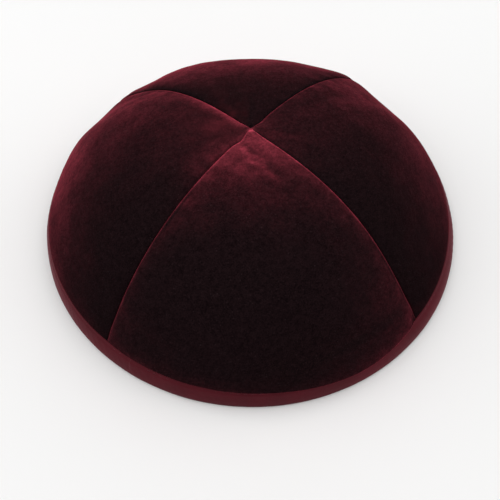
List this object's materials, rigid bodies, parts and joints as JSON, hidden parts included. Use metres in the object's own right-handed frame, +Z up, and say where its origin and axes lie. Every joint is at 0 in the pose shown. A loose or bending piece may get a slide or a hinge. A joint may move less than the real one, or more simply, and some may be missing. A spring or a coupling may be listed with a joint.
{
  "type": "kippah skullcap",
  "caption": "Round domed skullcap of sewn velvet panels with a folded satin binding round its open rim, resting on that rim.",
  "frame": {"origin": "middle of the round rim, on the surface that the cap rests on", "axes": "+Z up through the crown, -Y towards the front panel, +X towards the right panel; the seams lie halfway between the axes"},
  "size_m": [0.1718, 0.1718, 0.058],
  "materials": {
    "velvet": "deep burgundy velvet with a short upright pile that catches light at grazing angles",
    "satin": "burgundy satin tape with a soft sheen"
  },
  "bodies": {
    "root": {"panel_front": "velvet", "panel_right": "velvet", "panel_back": "velvet", "panel_left": "velvet", "rim_binding": "satin"}
  },
  "joints": []
}
